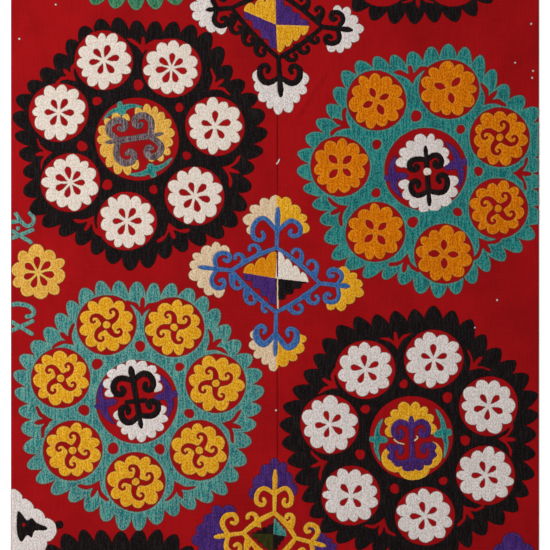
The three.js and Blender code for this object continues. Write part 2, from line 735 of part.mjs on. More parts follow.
function bloom({ field, lobes, figure }) {
  const edge = [
    ...lobedSide(field[0], field[1], lobes[0], -LOZENGE_DEPTH),
    ...lobedSide(field[1], field[2], lobes[1], -LOZENGE_DEPTH),
    new THREE.Vector2(field[2].x, field[2].y),
    new THREE.Vector2(field[0].x, field[2].y),
  ];
  const raised = figure.map(({ x, y }) => new THREE.Vector2(x, y));
  return plate(edge, STITCH_LOW, FIELD_TOP).add(plate(raised, STITCH_LOW, SCROLL_TOP));
}

function patch({ corners, lobes }) {
  const outline = [
    ...lobedSide(corners[0], corners[1], lobes, LOZENGE_DEPTH),
    ...lobedSide(corners[1], corners[2], lobes, LOZENGE_DEPTH),
    new THREE.Vector2(corners[2].x, corners[2].y),
  ];
  return plate(outline, STITCH_LOW, FIELD_TOP);
}

const textile = new THREE.Group();

textile.add(groundPanel('ground_left', -CLOTH_WIDTH / 2, SEAM_X - GAP / 2));
textile.add(groundPanel('ground_right', SEAM_X + GAP / 2, CLOTH_WIDTH / 2));

for (const wheel of WHEELS) {
  textile.add(stitched(`web_${wheel.name}`, web(wheel), wheel.ink));
  (ROSETTES[wheel.name] ?? []).forEach((kind, i) => {
    const solid = rosette(polar(wheel, kind.turn, kind.reach), kind);
    textile.add(stitched(`rosette_${wheel.name}_${i + 1}`, solid, ROSETTE_INK[wheel.name]));
  });
}
textile.add(stitched('rosette_edge', rosette(EDGE_ROSETTE, EDGE_ROSETTE), YELLOW));

for (const flower of FLOWERS) {
  const arms = flower.arms.map((arm) => fleuronWithHalo(flower, arm, flower.width));
  textile.add(stitched(`flower_${flower.name}`, join(arms), flower.ink));
  flower.leaves.forEach((leaf, i) => {
    const leafInk = flower.ink === BLACK ? PURPLE : TEAL;
    const solid = plate(leafOutline(leaf), STITCH_LOW, FIELD_TOP);
    textile.add(stitched(`leaf_${flower.name}_${i + 1}`, solid, leafInk));
  });
}

for (const figure of DIAMONDS) {
  textile.add(stitched(`diamond_${figure.name}`, diamond(figure), figure.ink));
  textile.add(stitched(`lozenge_${figure.name}`, lozenge(figure.lozenge), ORANGE));
}

textile.add(stitched('sign_upper', sign(SIGNS.upper), TEAL));
textile.add(stitched('sign_lower', sign(SIGNS.lower), TEAL));
textile.add(stitched('bloom', bloom(BLOOM), CREAM));
textile.add(stitched('patch', patch(PATCH), PURPLE));

export default textile;
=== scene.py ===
# %% [markdown]
# # An embroidered suzani in Blender
# A suzani is a large cover of plain cotton, worked all over in thick laid thread. This lesson
# dresses the CAD part of one: two red loom widths, sewn together down the middle, with great
# wheel flowers, round rosettes and hooked diamonds on them. The part comes in as a fixed frame.
# It says where everything lies, so each new piece goes straight to its place in metres.

import math
import random

import bpy
import numpy as np
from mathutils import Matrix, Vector, geometry, kdtree, noise


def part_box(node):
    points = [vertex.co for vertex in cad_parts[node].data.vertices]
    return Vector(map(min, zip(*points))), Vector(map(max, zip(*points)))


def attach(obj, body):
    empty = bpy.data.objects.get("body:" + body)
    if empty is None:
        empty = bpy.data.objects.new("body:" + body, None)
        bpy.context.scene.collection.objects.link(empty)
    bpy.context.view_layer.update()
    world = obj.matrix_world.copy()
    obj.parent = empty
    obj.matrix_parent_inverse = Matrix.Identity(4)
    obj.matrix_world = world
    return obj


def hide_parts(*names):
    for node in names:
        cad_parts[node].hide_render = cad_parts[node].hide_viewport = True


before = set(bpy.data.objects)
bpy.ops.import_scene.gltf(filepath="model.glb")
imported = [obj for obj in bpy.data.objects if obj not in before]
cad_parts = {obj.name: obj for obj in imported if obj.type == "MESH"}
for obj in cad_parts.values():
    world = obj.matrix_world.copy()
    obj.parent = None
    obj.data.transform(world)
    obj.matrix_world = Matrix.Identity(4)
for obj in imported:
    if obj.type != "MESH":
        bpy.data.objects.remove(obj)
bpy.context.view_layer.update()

# %% [markdown]
# ## The camera first
# The photo looks straight down on the cloth from far away, so a long lens high above it gives the
# same flat view. A sensor of 36 mm behind a 100 mm lens sees 0.99 m from 2.75 m up, which is the
# stretch of cloth in the picture.

# %% Camera
CAMERA_HEIGHT, LENS, SENSOR = 2.75, 100, 36

bpy.ops.object.select_all(action="DESELECT")
bpy.ops.object.camera_add(location=(0, 0, CAMERA_HEIGHT), rotation=(0, 0, 0))
camera = bpy.context.object
camera.name = "camera_above"
camera.data.lens = LENS
camera.data.sensor_width = SENSOR
camera.data.clip_end = 20
bpy.context.scene.camera = camera
print("camera sees", round(CAMERA_HEIGHT * SENSOR / LENS, 3), "m")

# %% [markdown]
# ## How the cloth lies
# A laid cloth is never quite flat. Broad shallow swells run over it, a few old folds cross it, and
# the stitches of the seam draw it into small puckers. A cloth simulation would settle it almost
# flat, so one rule gives the rise at any place instead. Every piece uses it, so the thread rises
# and falls with the cloth under it. Lengths in this lesson are in millimetres until a mesh is
# made.

# %% Unevenness of the cloth
MM = 0.001
HALF_WIDTH, HALF_LENGTH, SEAM_X = 475, 500, 5
EDGE_REACH, SEAM_REACH = 25, 26
SWELL_LENGTH, PUCKER_LENGTHS = 130, (6, 60)
GROUND_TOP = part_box("ground_left")[1].z / MM
# Each old fold has two ends, a height and a width.
CREASES = [((93, 370), (24, 264), 2.6, 4.5), ((-455, 452), (-372, 492), 1.4, 9),
           ((-440, 478), (-418, 350), 1.0, 12), ((-462, -10), (-400, 70), 1.1, 10),
           ((395, -420), (462, -330), 1.1, 10), ((30, -215), (52, -318), 1.0, 7)]


def crease(x, y):
    """The height of the old folds at a place."""
    total = 0
    for a, b, height, width in CREASES:
        along = Vector((b[0] - a[0], b[1] - a[1]))
        share = (Vector((x - a[0], y - a[1])) @ along) / along.length_squared
        if 0 < share < 1:
            away = math.dist((x, y), (a[0] + along.x * share, a[1] + along.y * share))
            total += height * math.sin(math.pi * share) ** 0.5 * math.exp(-(away / width) ** 2)
    return total


def rise(x, y):
    """How far the cloth stands above its flat place. The outer edges stay down."""
    broad = noise.noise(Vector((x / SWELL_LENGTH, y / SWELL_LENGTH, 3.1)))
    swell = 0.5 + 0.45 * broad + crease(x, y)
    near_seam = math.exp(-((x - SEAM_X) / SEAM_REACH) ** 2)
    fine = noise.noise(Vector((x / PUCKER_LENGTHS[0], y / PUCKER_LENGTHS[1], 8.4)))
    pucker = 0.26 * fine * near_seam
    away = min(1, (HALF_WIDTH - abs(x)) / EDGE_REACH, (HALF_LENGTH - abs(y)) / EDGE_REACH)
    return (swell + pucker) * max(0, away)


print("cloth top at", round(GROUND_TOP, 2), "mm, rise in the middle", round(rise(40, 0), 2), "mm")

# %% [markdown]
# ## Drawing with loops
# Before the stitching, every motif was drawn on the cloth in closed lines. The helpers here do
# the same. Each gives one closed loop of points: a wobbling circle, a ring of round tongues, a
# band that follows a path, or a curl. A seeded random hand makes no two tongues quite alike, but
# it draws them the same way each time.

# %% Points and smooth loops
hand = random.Random(7)


def polar(centre, turn, reach):
    angle = math.radians(turn)
    return (centre[0] + reach * math.cos(angle), centre[1] + reach * math.sin(angle))


def heading_of(a, b):
    return math.degrees(math.atan2(b[1] - a[1], b[0] - a[0]))


def smooth_loop(points, steps=4, closed=True):
    """A curve through the points, in the way of Catmull and Rom."""
    count, curve = len(points), []
    for i in range(count if closed else count - 1):
        if closed:
            a, b, c, d = (points[(i + k - 1) % count] for k in range(4))
        else:
            a, b, c, d = (points[min(max(i + k - 1, 0), count - 1)] for k in range(4))
        for s in range(steps):
            t = s / steps
            curve.append(tuple(0.5 * (2 * b[k] + (c[k] - a[k]) * t
                                      + (2 * a[k] - 5 * b[k] + 4 * c[k] - d[k]) * t ** 2
                                      + (3 * b[k] - a[k] - 3 * c[k] + d[k]) * t ** 3)
                               for k in (0, 1)))
    return curve if closed else curve + [points[-1]]


def local(centre, turn, shape):
    """A shape given as lengths out from a centre and to its left, turned into place."""
    return [polar(polar(centre, turn, out), turn + 90, side) for out, side in shape]


def mirrored(half):
    return half + [(out, -side) for out, side in reversed(half[1:-1])]


# %% Round things and tongues
def disc(centre, radius, wobble=0.015, sides=64):
    first, second = hand.uniform(0, 360), hand.uniform(0, 360)
    loop = []
    for i in range(sides):
        turn = 360 * i / sides
        swell = (math.cos(math.radians(2 * turn + first))
                 + 0.6 * math.cos(math.radians(3 * turn + second)))
        loop.append(polar(centre, turn, radius * (1 + wobble * swell)))
    return loop


def tongues(centre, count, turn, tip_reach, depth, lean=(0, 90), point=2.0, sharp=0.7,
            uneven=0.12, steps=12):
    """A ring of tongues. They lean by a share of their half width towards a turn."""
    pitch = 360 / count
    borders = [turn + (i - 0.5 + hand.uniform(-0.5, 0.5) * uneven) * pitch for i in range(count)]
    borders.append(borders[0] + 360)
    loop = []
    for start, end in zip(borders, borders[1:]):
        middle, half = (start + end) / 2, (end - start) / 2
        tall = 1 + hand.uniform(-uneven, uneven) * 0.8
        tilt = lean[0] * math.sin(math.radians(lean[1] - middle))
        tilt += hand.uniform(-0.5, 0.5) * uneven
        for k in range(steps):
            u = -1 + 2 * k / steps
            high = (1 - abs(u) ** point) ** sharp
            angle = middle + u * half + tilt * half * high
            loop.append(polar(centre, angle, tip_reach(angle) - depth * (1 - high * tall)))
    return loop


# %% Bands and curls
def band(path, widths, room=None):
    """A band along a path with a round end. Room holds its inner side off a tight curl."""
    left, right = [], []
    for i, point in enumerate(path):
        heading = heading_of(path[max(i - 1, 0)], path[min(i + 1, len(path) - 1)])
        share = i / (len(path) - 1) * (len(widths) - 1)
        low = min(int(share), len(widths) - 2)
        half = (widths[low] + (widths[low + 1] - widths[low]) * (share - low)) / 2
        inner = {1: half, -1: half}
        if room and room[i]:
            side = 1 if room[i] > 0 else -1
            inner[side] = min(half, abs(room[i]) * 0.85)
        left.append(polar(point, heading + 90, inner[1]))
        right.append(polar(point, heading - 90, inner[-1]))
    heading = heading_of(path[-2], path[-1])
    cap = [polar(path[-1], heading + turn, widths[-1] / 2) for turn in (-60, -30, 0, 30, 60)]
    return right + cap + left[::-1]


CURL_STEP, CURL_START = 13, 0.88


def curl_band(start, heading, lead, size, sweep, widths, tight=0.14):
    """A straight lead, then a curl to the left that tightens to a share of its size."""
    steps = math.ceil(sweep / CURL_STEP)
    bend = sweep / steps
    path, room = [start], [0]
    for k in range(1, 4):
        path.append(polar(start, heading, lead * k / 3))
        room.append(0)
    direction = heading
    for i in range(steps):
        radius = size * CURL_START * (tight / CURL_START) ** ((i + 0.5) / steps)
        direction += bend / 2
        path.append(polar(path[-1], direction, 2 * radius * math.sin(math.radians(bend / 2))))
        room.append(radius)
        direction += bend / 2
    return band(path, widths, room)


HORN = [(1, 0.5), (0.9, 0.83), (0.55, 1), (0.15, 0.96), (0, 0.7), (0.17, 0.53), (0.38, 0.6)]


def horn_path(base, turn, branch, side, top, low, reach):
    """The middle line of a ram's horn that springs from a stem and rolls back towards it."""
    points = [(branch, 0)]
    points += [(low + (top - low) * out, side * reach * across) for out, across in HORN]
    return smooth_loop(local(base, turn, points), 4, closed=False)


# %% Scalloped and stepped sides
def lobed(start, end, lobes, depth, steps=8, out=None):
    """Rounded lobes along a side. They stand square to it, or point the way that out gives."""
    heading, length = heading_of(start, end), math.dist(start, end)
    line = []
    for i in range(lobes):
        for k in range(steps):
            u = -1 + 2 * k / steps
            place = polar(start, heading, length * (i + 0.5 + u / 2) / lobes)
            height = depth * (1 - u ** 2) ** 0.6
            line.append(polar(place, heading - 90 if out is None else out, height))
    return line


def stepped(start, end, steps):
    line = []
    for i in range(steps):
        for along, across in ((0, 0), (0.15, 0.85)):
            line.append((start[0] + (end[0] - start[0]) * (i + along) / steps,
                         start[1] + (end[1] - start[1]) * (i + across) / steps))
    return line


def clipped(loop, axis, limit, side):
    """The part of a loop on one side of a straight line across an axis."""
    kept = []
    for a, b in zip(loop, loop[1:] + loop[:1]):
        here, there = (a[axis] - limit) * side >= 0, (b[axis] - limit) * side >= 0
        if here:
            kept.append(a)
        if here != there:
            t = (limit - a[axis]) / (b[axis] - a[axis])
            kept.append(tuple(limit if k == axis else a[k] + t * (b[k] - a[k]) for k in (0, 1)))
    return kept


print("a test ring of tongues has", len(tongues((0, 0), 12, 0, lambda turn: 50, 8)), "points")

# %% [markdown]
# ## The plan of the motifs
# The tables say where each motif lies and how it is built up: how many tongues a wheel has, at
# which turn each rosette sits on it, and how far each curl turns. They follow the same plan as the
# CAD part, in millimetres and degrees, so the thread lands on its solids.

# %% Wheels and rosettes in numbers
def named(words, rows):
    return [dict(zip(words, row)) for row in rows]


# A wheel has its place, the shift of its rim, the reach of the rim and how much it swells at the
# windows, the turn of the first window, its petals and the turn of the first, how far they lean
# and to which turn, and how blunt they are.
WHEEL_WORDS = ("name", "ink", "x", "y", "shift", "rim", "wave", "window", "petals", "turn",
               "lean", "point")
WHEELS = [
    ("a", "black", -251, 245, (6, -4), 223, 9, 112, 41, 3, (0.15, 90), 2.1),
    ("b", "teal", 269, 190, (3, 0), 222, 10, 125, 42, 2, (0.3, 135), 2.0),
    ("c", "seafoam", -248, -225, (2, -5), 222, 7, 112, 42, 5, (0.2, 90), 2.1),
    ("d", "black", 245, -292, (0, 4), 230, 7, 124, 41, 0, (0.2, 180), 1.6),
    ("e", "green", -252, 697, (0, 0), 222, 4, 296, 36, 0.5, (0, 0), 2.0),
    ("f", "black", 257, 670, (0, 0), 221, 5, 296, 38, 3, (0.15, 90), 1.7),
    ("g", "black", -279, -679, (0, 0), 225, 8, 116, 42, 4, (0, 0), 1.8),
]
WHEELS = named(WHEEL_WORDS, WHEELS)

# Each row gives the turn and reach of a rosette in its wheel, its lobes and the turn of the first,
# its slits and the turn of the first, and a 1 where they curl into a pinwheel.
ROSETTE_WORDS = ("turn", "reach", "lobes", "phase", "slits", "slit_turn", "pinwheel")
ROSETTES = {
    "a": [(112, 152, 12, 95, 6, 10), (63, 143, 11, 88, 7, 87), (9, 145, 11, 100, 5, 90),
          (316, 148, 11, 90, 6, 105), (264, 149, 12, 98, 6, 0), (214, 141, 11, 84, 7, 0),
          (161, 146, 11, 80, 6, 60)],
    "b": [(125, 151, 11, 92, 4, 25), (73, 151, 11, 98, 3, 45), (23, 147, 11, 90, 4, 50, 1),
          (332, 150, 12, 78, 4, 35, 1), (283, 156, 11, 82, 4, 88), (232, 143, 11, 90, 4, 40),
          (178, 152, 11, 85, 4, 45)],
    "c": [(112, 146, 11, 92, 4, 35, 1), (63, 147, 11, 85, 4, 0, 1), (12, 145, 10, 70, 4, -3, 1),
          (321, 144, 10, 95, 4, 60, 1), (269, 147, 10, 100, 4, 80, 1),
          (218, 147, 11, 85, 4, 55, 1), (164, 143, 11, 90, 4, 30, 1)],
    "d": [(124, 147, 11, 95, 5, 100), (74, 146, 11, 100, 5, 90), (22, 150, 10, 72, 5, 120),
          (333, 150, 11, 82, 5, 110), (280, 144, 10, 95, 5, 105), (224, 151, 11, 80, 4, 40),
          (171, 149, 10, 88, 5, 110)],
}
ROSETTES = {key: named(ROSETTE_WORDS, rows) for key, rows in ROSETTES.items()}
EDGE_ROSETTE = dict(x=-426, y=4, lobes=10, phase=95, slits=7, slit_turn=95)
HALF_WHEEL = [dict(turn=270 + 180 / 7, reach=148), dict(turn=270 - 180 / 7, reach=148)]
EYES = {"a": (3, -1, 76), "b": (2, 0, 75), "c": (0, -3, 75), "d": (0, 0, 76)}
ROSETTE_INK = {"a": "white", "b": "orange", "c": "yellow", "d": "milk"}

print(len(WHEELS), "wheels,", sum(map(len, ROSETTES.values())) + 1, "rosettes")

# %% Flowers in numbers
# An arm has its turn, the places of its fork and its tip, and the width of its spike, then two
# horns and a scalloped field, or halo. A horn is given by how far out it reaches, how low its end
# rolls, and how wide it swings. A halo is given by its distance, its length, its two widths, the
# turns at which it ends on either side, and its lobes.
ARM_WORDS = ("turn", "branch", "tip", "spike", "left", "right", "halo")
LEAF_WORDS = ("x", "y", "turn", "length", "side", "inner")
FLOWERS = [
    dict(name="a", x=-253, y=246, ink="grey", width=11.5,
         arms=[(9, 29, 54, 7, (35, 5, 38), (45, 18, 38), (28, 44, 55, 48, 122, 106, 10)),
               (189, 29, 53, 8, (36, 5, 42), (43, 12, 36), (22, 45, 61, 48, 127, 121, 10))],
         leaves=[(-276, 298, 17, 74, 1, 0.62), (-222, 189, 21, 86, -1, 0.62)]),
    dict(name="b", x=274, y=182, ink="black", width=9, dot=(274, 186, 6.7),
         arms=[(94, 26, 51, 8, (28, 9, 31), (33, 12, 27), (26, 44, 52, 43, 108, 114, 8)),
               (274, 31, 59, 8.5, (36, 4, 35), (38, 12, 31), (22, 48, 53, 50, 113, 111, 8))],
         leaves=[(329, 200, 107, 86, -1), (213, 176, 97, 76, 1)]),
    dict(name="c", x=-250, y=-219, ink="black", width=10, bar=(-8, -4, 36, 6.5),
         arms=[(100, 30, 57, 12, (38, 9, 37), (39, 8, 35), (22, 45, 55, 51, 113, 122, 9)),
               (280, 34, 59, 9, (39, 13, 36), (44, 15, 32), (34, 45, 50, 44, 107, 114, 9))],
         leaves=[(-192, -216, 102, 80, -1), (-309, -233, 105, 78, 1)]),
    dict(name="d", x=246, y=-301, ink="purple", width=9.5,
         arms=[(91, 28, 48, 10, (37, 10, 32), (37, 12, 30), (27, 45, 50, 43, 117, 111, 8)),
               (272, 31, 52, 11, (36, 6, 36), (37, 7, 36), (20, 47, 53, 54, 121, 109, 3),
                (15, 36, 44, 45, 118, 116, 8))],
         leaves=[(304, -284, 100, 90, -1), (184, -296, 86, 76, 1)]),
]
for flower in FLOWERS:
    flower["arms"] = named(ARM_WORDS + ("under",), flower["arms"])
    flower["leaves"] = named(LEAF_WORDS, flower["leaves"])
HALO_INK = {"a": "straw", "b": "milk", "c": "milk", "d": "yellow"}
LEAF_INK = {"a": "teal", "b": "purple", "c": "purple", "d": "teal"}

print(len(FLOWERS), "flowers with", sum(len(flower["leaves"]) for flower in FLOWERS), "leaves")

# %% Diamonds and small motifs in numbers
# An arm springs from a corner and may have fields of two threads, and a last number where it is
# stout. A crest is given by its place, the turn and length of its lead, its size and how far it
# curls. A quarter of a lozenge has so many lobes, or steps where the number is 0.
DIAMONDS = [
    dict(name="middle", ink="blue", width=7.5, line=5.4,
         corners=[(81, -15), (3, 49), (-78, 8), (2, -67)],
         arms=[(1, ("beige", "yellow"), 88, 30, 74, 10, (52, 12, 44), (49, 22, 42),
                (44, 52, 60, 56, 124, 114, 9)),
               (2, ("beige",), 174, 27, 61, 8.5, (34, 10, 34), (32, 5, 30),
                (28, 50, 51, 48, 118, 123, 9)),
               (0, ("yellow",), 354, 31, 55, 10, (38, 13, 27), (36, 11, 32),
                (34, 46, 35, 46, 124, 121, 8)),
               (3, ("beige", "yellow"), 269, 38, 80, 8.5, (62, 29, 38), (57, 25, 35),
                (54, 49, 56, 46, 112, 122, 9), 1.6)],
         crests=[(-27, 38, 95, 4, 18, 210), (-56, 24, 92, 3, 15, 220), (42, 20, 58, 8, 19, 235),
                 (68, -2, 58, 10, 19, 225), (-75, 2, 262, 13, 16, 275),
                 (-48, -23, 252, 13, 17, 265), (-18, -50, 240, 6, 12, 150),
                 (24, -53, 292, 7, 19, 255), (56, -34, 287, 8, 17, 255)],
         heart=(1, -6), lozenge=[(60, -13), (4, 36), (-57, 4), (3, -53)],
         joins=[("purple", 46, -4), ("beige", -4, -60)],
         quarters=[("white", 4), ("amber", 3), ("purple", 0), ("black", 0)]),
    dict(name="top", ink="black", width=8, line=5.3,
         corners=[(85, 446), (2, 509), (-78, 480), (6, 390)],
         arms=[(2, ("milk",), 184, 26, 47, 9, (33, 10, 31), (33, 9, 30),
                (28, 46, 45, 47, 117, 117, 8)),
               (0, ("milk",), 354, 28, 56, 10, (36, 14, 29), (33, 8, 28),
                (30, 43, 40, 45, 114, 125, 8)),
               (3, ("milk",), 274, 34, 71, 11, (47, 16, 37), (43, 11, 35),
                (38, 60, 52, 50, 100, 113, 9), 1.3)],
         crests=[(-73, 468, 252, 18, 17, 280), (-50, 446, 252, 18, 16, 275),
                 (-28, 425, 252, 17, 15, 270), (17, 400, 298, 9, 15, 225),
                 (40, 416, 288, 9, 15, 240), (62, 431, 286, 7, 12, 240),
                 (75, 457, 50, 13, 13, 255), (49, 474, 50, 13, 15, 250)],
         heart=(2, 450), lozenge=[(61, 448), (1, 496), (-56, 475), (4, 407)],
         quarters=[("purple", 0), ("yellow", 3), ("purple", 0), ("yellow", 4)]),
    dict(name="bottom", ink="yellow", width=7.5, line=6.5,
         corners=[(37, -473), (-1, -428), (-57, -464), (-4, -512)],
         arms=[(1, ("purple",), 89, 34, 79, 9.5, (44, 14, 33), (45, 13, 30),
                (42, 54, 45, 40, 115, 105, 7)),
               (2, ("purple",), 188, 27, 54, 9, (34, 9, 34), (35, 8, 36),
                (28, 64, 58, 55, 110, 112, 9), 1.2),
               (0, ("purple",), 345, 29, 57, 9, (36, 13, 30), (36, 13, 30),
                (34, 45, 21, 40, 90, 110, 7), 1.2)],
         crests=[(-34, -452, 78, 8, 18, 220), (23, -455, 55, 13, 13, 245),
                 (-45, -476, 245, 12, 18, 240)],
         heart=(-3, -466), lozenge=[(20, -470), (-2, -445), (-41, -465), (-3, -499)],
         quarters=[("teal", 4), ("black", 0), ("olive", 0), ("black", 0)]),
]
for figure in DIAMONDS:
    figure["arms"] = named(("corner", "inks") + ARM_WORDS + ("stout",), figure["arms"])

# Each stroke has a width and a path.
SIGNS = {
    "upper": [(6, [(-467, 112), (-458, 98), (-447, 88), (-436, 92), (-434, 103), (-441, 111)]),
              (6, [(-474, 95), (-459, 97)]), (6, [(-462, 87), (-462, 83)]),
              (6, [(-474, 80), (-439, 59)]), (6, [(-474, 66), (-436, 81)])],
    "lower": [(7, [(-474, -54), (-462, -52), (-445, -55), (-434, -64), (-436, -72), (-446, -75)]),
              (6, [(-474, -84), (-437, -106)]), (6, [(-474, -100), (-436, -83)])],
}
BLOOM = dict(field=[(-475, -386), (-394, -456), (-428, -502)], lobes=(4, 2),
             fish=[(-462, -424), (-446, -441), (-437, -437), (-428, -446), (-411, -453),
                   (-412, -459), (-432, -460), (-437, -472), (-446, -468), (-456, -480),
                   (-464, -462)],
             eye=(-452, -449), nub=(-388, -449))
PATCH = [(467, -502), (426, -464), (393, -502)]

print(len(DIAMONDS), "diamonds with", sum(len(one["crests"]) for one in DIAMONDS), "crests")

# %% [markdown]
# ## From loops to motifs
# A motif is a pile of loops in painting order. Each entry names its thread, its height and its
# outline, and a loop with no thread leaves the red cloth bare. So a wheel is one big ring of
# tongues with bare windows, dots and sprouts laid over it.

# %% Wheels
WINDOW_RADIUS, DOT_REACH, SPROUT_REACH, PETAL_DEPTH = 54.5, 97, 155, 23
SPROUT = [(-1, 0), (-1, 0), (7, 4.6), (13, 9.5), (18, 16), (22, 27), (27, 28), (27, 20), (24, 11),
          (18, 4.6), (18, 4.6), (25, 4.6), (31, 3), (34, 0)]


def bare(loop):
    return (None, "", loop)


def between(places):
    """The turns halfway between windows."""
    turns = []
    for i, place in enumerate(places):
        following = places[(i + 1) % len(places)]["turn"]
        turns.append(place["turn"] - ((place["turn"] - following) % 360) / 2)
    return turns


def wheel_layers(wheel, places, eye):
    centre = (wheel["x"], wheel["y"])
    rim_centre = (wheel["x"] + wheel["shift"][0], wheel["y"] + wheel["shift"][1])

    def reach(turn):
        swell = math.cos(math.radians(7 * (turn - wheel["window"])))
        return wheel["rim"] + wheel["wave"] * swell

    ring = tongues(rim_centre, wheel["petals"], wheel["turn"], reach, PETAL_DEPTH, wheel["lean"],
                   wheel["point"], sharp=0.85)
    layers = [(wheel["ink"], "field", ring)]
    for place in places:
        spot = polar(centre, place["turn"], place["reach"])
        layers.append(bare(disc(spot, WINDOW_RADIUS, wobble=0.012)))
    for turn in between(places):
        spot = polar(centre, turn + hand.uniform(-1, 1), DOT_REACH)
        layers.append(bare(disc(spot, hand.uniform(8.3, 10.8), wobble=0.06, sides=26)))
        half = [(out * hand.uniform(0.98, 1.1), side * hand.uniform(0.98, 1.15))
                for out, side in SPROUT]
        foot = polar(rim_centre, turn, SPROUT_REACH)
        layers.append(bare(smooth_loop(local(foot, turn, mirrored(half)), 3)))
    if eye:
        spot = (centre[0] + eye[0], centre[1] + eye[1])
        layers.append(bare(disc(spot, eye[2], wobble=0.01, sides=96)))
    return layers


# %% Rosettes
ROSETTE_RADIUS, LOBE_DEPTH = 49.5, 11.5
DROP = [(4.5, 0), (4.5, 0), (11, 3.4), (18, 5.9), (24.5, 5.7), (28.5, 0)]
LEAF_SLIT = [(5, 0), (5, 0), (10, 4.4), (16, 5.6), (21, 3.6), (24, 0)]
SLIT_OF_INK = {"orange": (LEAF_SLIT, 1.15), "milk": (DROP, 0.95)}
PINWHEEL_WIDTHS = (13, 9, 7, 6, 5.4, 5)


def rosette_layers(ink, centre, kind):
    rim = tongues(centre, kind["lobes"], kind["phase"], lambda turn: ROSETTE_RADIUS, LOBE_DEPTH,
                  point=1.85, sharp=0.78, uneven=0.32)
    layers = [(ink, "field", rim)]
    slits = kind["slits"]
    if kind.get("pinwheel"):
        layers.append(bare(disc(centre, 10.5, sides=20)))
        for i in range(slits):
            turn = kind["slit_turn"] + 360 * i / slits + hand.uniform(-5, 5)
            size = 16.5 * hand.uniform(0.92, 1.1)
            layers.append(bare(curl_band(polar(centre, turn, 4), turn, 12, size, 300,
                                         PINWHEEL_WIDTHS)))
        return layers + [(ink, "field", disc(centre, 6.3, wobble=0.03, sides=18))]
    shape, scale = SLIT_OF_INK.get(ink, (DROP, 1))
    for i in range(slits):
        turn = kind["slit_turn"] + 360 * (i + hand.uniform(-0.05, 0.05)) / slits
        size = scale * hand.uniform(0.9, 1.06)
        half = [(out * size, side * size) for out, side in shape]
        layers.append(bare(smooth_loop(local(centre, turn, mirrored(half)))))
    return layers


# %% Scroll arms and the scalloped fields behind them
HORN_BACK = 17


def halo_loop(base, turn, halo, horns, depth=8.5, peak=0.0, steps=9):
    """A scalloped field round the end of an arm, closed along the backs of its two horns."""
    out, forward, left, right, left_end, right_end, lobes = halo
    centre = polar(base, turn, out)

    def at(angle, share):
        along = forward * share * math.cos(math.radians(angle))
        across = (left if angle > 0 else right) * share * math.sin(math.radians(angle))
        return polar(polar(centre, turn, along), turn + 90, across)

    pitch = (left_end + right_end) / lobes
    shifts = [hand.uniform(-0.13, 0.13) if 0 < i < lobes else 0 for i in range(lobes + 1)]
    borders = [-right_end + pitch * (i + shift) for i, shift in enumerate(shifts)]
    loop = []
    for start, end in zip(borders, borders[1:]):
        tall = hand.uniform(-0.04, 0.07)
        for k in range(steps):
            u = -1 + 2 * k / steps
            high = (1 - abs(u) ** 1.9) ** 0.8
            angle = (start + end) / 2 + u * (end - start) / 2
            waist = peak * math.sin(math.radians(2 * angle)) ** 2
            loop.append(at(angle, 1 - waist - depth / forward * (1 - high) + tall * high))
    loop.append(at(left_end, 1 - depth / forward))
    return loop + horns[0][HORN_BACK::-1] + horns[1][1:HORN_BACK]


def arm_layers(base, arm, ink, width, halo_inks, peak=0.0):
    """A stem with two horns and a spike, on fields of one thread or two."""
    turn, branch, stout, spike = arm["turn"], arm["branch"], arm.get("stout", 1), arm["spike"]
    horns = [horn_path(base, turn, branch, side, *arm[name])
             for side, name in ((1, "left"), (-1, "right"))]
    loop = halo_loop(base, turn, arm["halo"], horns, peak=peak)
    layers = []
    for halo_ink, side in zip(halo_inks, (-1, 1)):
        field = clipped(loop, 0, base[0], side) if len(halo_inks) > 1 else loop
        layers.append((halo_ink, "field", field))
    if "under" in arm:
        layers.append((ink, "field", halo_loop(base, turn, arm["under"], horns, depth=5)))
    for path in horns:
        widths = (width * 0.9, width * stout, width * 1.05 * stout, width, width * 0.85,
                  width * 0.7)
        layers.append((ink, "scroll", band(path, widths)))
    stem = [polar(base, turn, -width / 3), polar(base, turn, branch + 2)]
    layers.append((ink, "scroll", band(stem, (width * 0.75, width * 0.95))))
    middle = (branch * 0.35 + arm["tip"] * 0.65)
    spine = [polar(base, turn, reach) for reach in (branch, middle, arm["tip"] - spike / 3)]
    layers.append((ink, "scroll", band(spine, (spike * 0.8, spike, spike * 0.6))))
    return layers


# %% Flowers with their leaves
LEAF = [(-1, -0.8), (-0.72, 0), (-0.4, 0.5), (-0.16, 0.55), (-0.12, 1.25), (0.02, 1.4),
        (0.12, 1.2), (0.14, 0.6), (0.42, 0.5), (0.75, 0.05), (1, -0.7), (0.8, -0.6), (0.5, -0.28),
        (0.2, -0.45), (0.13, -1.5), (0, -1.9), (-0.12, -1.5), (-0.17, -0.5), (-0.5, -0.35),
        (-0.8, -0.65)]


def leaf_layers(leaf, ink):
    half, thick = leaf["length"] / 2, 10 if ink == "teal" else 13.5
    shape = []
    for along, across in LEAF:
        inner = leaf.get("inner", 1) if across < -0.9 else 1
        shape.append((along * half, across * thick * leaf["side"] * inner))
    return [(ink, "field", smooth_loop(local((leaf["x"], leaf["y"]), leaf["turn"], shape), 3))]


def flower_layers(flower):
    base, ink = (flower["x"], flower["y"]), flower["ink"]
    layers = []
    for arm in flower["arms"]:
        layers += arm_layers(base, arm, ink, flower["width"], (HALO_INK[flower["name"]],))
    if "bar" in flower:
        out, tilt, length, width = flower["bar"]
        turn = flower["arms"][0]["turn"]
        middle = polar(base, turn, out)
        ends = [polar(middle, turn + 90 + tilt, reach) for reach in (-length / 2, length / 2)]
        layers.append((ink, "scroll", band(ends, (width, width))))
    if "dot" in flower:
        x, y, radius = flower["dot"]
        layers.append(("white", "scroll", disc((x, y), radius, sides=24)))
    return layers


